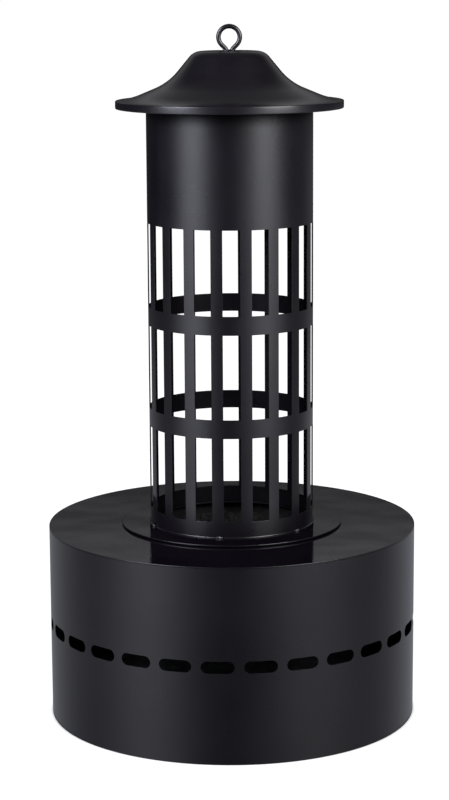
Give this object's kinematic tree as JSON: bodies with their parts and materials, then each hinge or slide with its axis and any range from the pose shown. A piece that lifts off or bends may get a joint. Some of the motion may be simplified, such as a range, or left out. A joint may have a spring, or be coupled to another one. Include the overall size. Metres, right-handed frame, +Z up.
{
  "type": "chiminea",
  "caption": "Gas-burning patio chiminea: slotted round lantern tower with a bell cap and lifting ring, standing on a slotted drum with a lava rock bowl.",
  "frame": {"origin": "on the floor, at the centre of the drum's lower edge", "axes": "+Z up along the axis of the drum and the tower; +Y towards the back, where the knob, the ignition button and the gas inlet are; +X to the right seen from the front"},
  "size_m": [0.4, 0.43, 0.7491],
  "materials": {
    "black_powder_coat": "satin black powder coat with a fine orange-peel texture",
    "bowl_enamel": "matt black heat-resistant paint, dulled by heat",
    "zinc_sheet": "zinc-coated sheet steel, dull with a faint spangle",
    "stainless_steel": "brushed stainless steel, heat-tinted on the burner",
    "zinc_plate": "bright zinc plate",
    "cast_aluminium": "die-cast aluminium, matt",
    "aluminium_tube": "drawn aluminium tube, satin",
    "brass": "machined brass, slightly tarnished",
    "lava_rock": "porous dark lava rock, rough and dry",
    "ceramic": "glazed white ceramic",
    "copper": "drawn copper tube, dull",
    "black_plastic": "moulded black plastic with a fine grain",
    "button_plastic": "moulded dark red plastic, satin",
    "lead_insulation": "black silicone insulation"
  },
  "bodies": {
    "base": {"drum_shell": "black_powder_coat", "drum_top": "black_powder_coat", "drum_base": "zinc_sheet", "fire_bowl": "bowl_enamel", "lava_rocks": "lava_rock", "burner": "stainless_steel", "burner_locknut": "zinc_plate", "air_mixer": "cast_aluminium", "gas_jet": "brass", "jet_elbow": "brass", "gas_pipe": "aluminium_tube", "gas_valve": "brass", "valve_nut": "zinc_plate", "valve_bracket": "zinc_sheet", "bracket_screws": "zinc_plate", "bracket_nuts": "zinc_plate", "supply_pipe": "aluminium_tube", "gas_inlet": "brass", "inlet_nut": "zinc_plate", "igniter_electrode": "ceramic", "igniter_lead": "lead_insulation", "piezo_igniter": "black_plastic", "igniter_nut": "black_plastic", "thermocouple": "copper", "control_bezel": "stainless_steel", "bezel_screws": "zinc_plate", "return_spring": "zinc_plate"},
    "push_collar": {"spindle_washer": "zinc_plate"},
    "knob": {"valve_spindle": "brass", "control_knob": "black_plastic"},
    "button": {"igniter_button": "button_plastic"},
    "lantern": {"tower_tube": "black_powder_coat", "tower_plate": "black_powder_coat", "tack_welds": "black_powder_coat"},
    "cap": {"cap_shell": "black_powder_coat", "cap_lugs": "black_powder_coat", "lifting_ring": "black_powder_coat", "ring_weld": "black_powder_coat"}
  },
  "joints": [
    {"name": "lantern_lift", "type": "slide", "parent": "base", "child": "lantern", "axis": [0, 0, 1], "range_m": [0, 0.2]},
    {"name": "cap_lift", "type": "slide", "parent": "lantern", "child": "cap", "axis": [0, 0, 1], "range_m": [0, 0.1]},
    {"name": "knob_push", "type": "slide", "parent": "base", "child": "push_collar", "axis": [0, -1, 0], "range_m": [0, 0.004], "stiffness_N_per_m": 500, "deforming": ["return_spring"]},
    {"name": "knob_turn", "type": "hinge", "parent": "push_collar", "child": "knob", "pos_m": [0, 0.208, 0.055], "axis": [0, 1, 0], "range_deg": [0, 180]},
    {"name": "button_push", "type": "slide", "parent": "base", "child": "button", "axis": [-0.309, -0.9511, 0], "range_m": [0, 0.005], "stiffness_N_per_m": 300}
  ]
}
